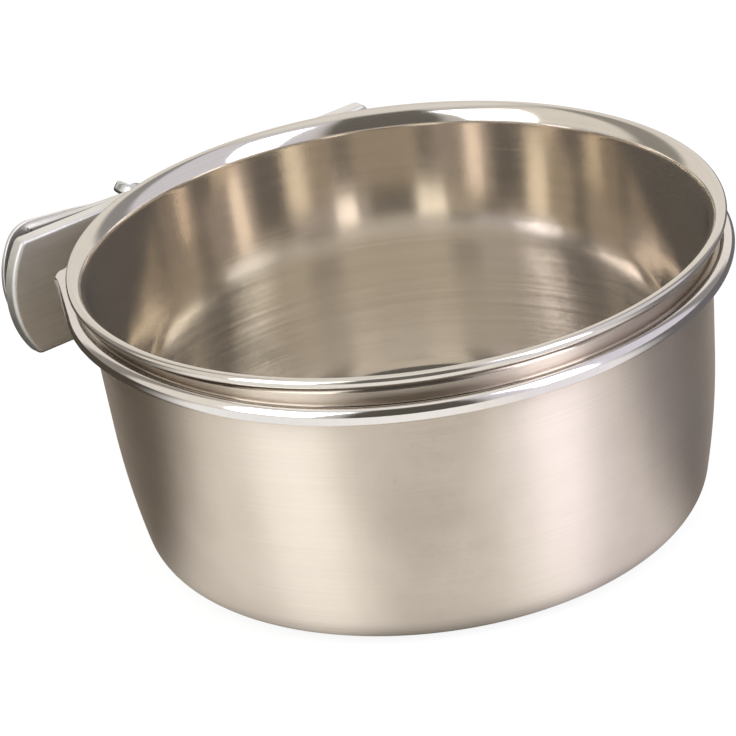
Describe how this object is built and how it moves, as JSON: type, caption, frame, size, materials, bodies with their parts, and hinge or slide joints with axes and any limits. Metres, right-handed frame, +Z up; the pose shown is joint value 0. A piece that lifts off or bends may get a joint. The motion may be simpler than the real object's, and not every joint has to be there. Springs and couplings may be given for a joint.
{
  "type": "seed cup",
  "caption": "Round steel cup that lifts out of a wire ring, with a two-plate clamp closed by a bolt and wing nut to hold it on cage wires.",
  "frame": {"origin": "centre of the cup's flat underside", "axes": "+Z up along the cup's axis, +Y from the cup towards the clamp, X along the clamp's plates"},
  "size_m": [0.1274, 0.1532, 0.0597],
  "materials": {
    "cup_steel": "satin brushed outside, polished inside",
    "ring_steel": "polished",
    "plate_steel": "satin",
    "fastener_steel": "bright plated",
    "nut_steel": "bright plated"
  },
  "bodies": {
    "holder": {"holder_ring": "ring_steel", "inner_plate": "plate_steel", "clamp_bolt": "fastener_steel"},
    "cup": {"cup": "cup_steel"},
    "carrier": {"washer": "fastener_steel"},
    "outer_jaw": {"outer_plate": "plate_steel"},
    "nut": {"wing_nut": "nut_steel"}
  },
  "joints": [
    {"name": "cup_lift", "type": "slide", "parent": "holder", "child": "cup", "axis": [0, 0, 1], "range_m": [0, 0.065]},
    {"name": "clamp_travel", "type": "slide", "parent": "holder", "child": "carrier", "axis": [0, 1, 0], "range_m": [0, 0.008]},
    {"name": "nut_spin", "type": "hinge", "parent": "carrier", "child": "nut", "pos_m": [0, 0.0726, 0.043], "axis": [0, 1, 0], "range_deg": [0, 2880]},
    {"name": "jaw_swivel", "type": "hinge", "parent": "carrier", "child": "outer_jaw", "pos_m": [0, 0.0709, 0.043], "axis": [0, 1, 0], "continuous": true}
  ],
  "couplings": [
    {"joint": "nut_spin", "follows": "clamp_travel", "rad_per_m": 6283.2}
  ]
}
